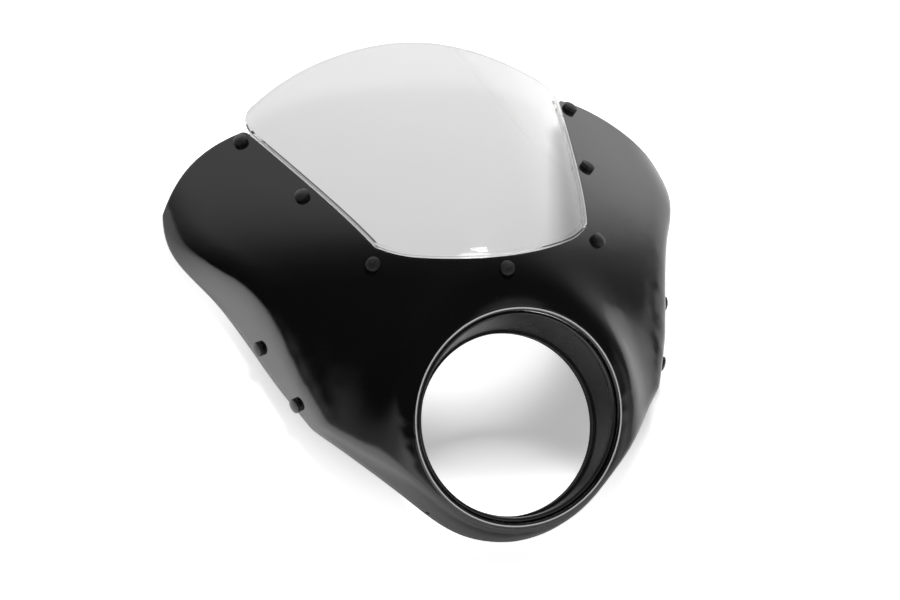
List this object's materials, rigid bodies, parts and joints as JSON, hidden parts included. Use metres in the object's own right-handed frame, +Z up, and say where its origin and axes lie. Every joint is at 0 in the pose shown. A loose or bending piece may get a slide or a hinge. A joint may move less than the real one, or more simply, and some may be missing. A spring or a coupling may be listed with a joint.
{
  "type": "motorcycle headlight cowl",
  "caption": "Motorcycle headlight cowl: glossy moulded skin with swept wings, a round lamp opening with a funnel ring, and a clear curved windshield held by domed screws.",
  "frame": {"origin": "middle of the headlight bore, on its axis", "axes": "+Y along the headlight bore towards the rider, +Z up, +X to the right as seen from the front"},
  "size_m": [0.4934, 0.2527, 0.4716],
  "materials": {
    "gloss_skin": "gloss black moulded",
    "clear_screen": "clear moulded sheet",
    "satin_ring": "satin black moulded",
    "edge_rubber": "matt black",
    "black_fastener": "satin black",
    "rubber_washer": "matt black",
    "plated_nut": "zinc plated"
  },
  "bodies": {
    "root": {"cowl_body": "gloss_skin", "windshield": "clear_screen", "headlight_ring": "satin_ring", "ring_trim": "edge_rubber", "windshield_screws": "black_fastener", "windshield_washers": "rubber_washer", "windshield_nuts": "plated_nut", "side_screws": "black_fastener", "side_washers": "rubber_washer", "side_nuts": "plated_nut"}
  },
  "joints": []
}
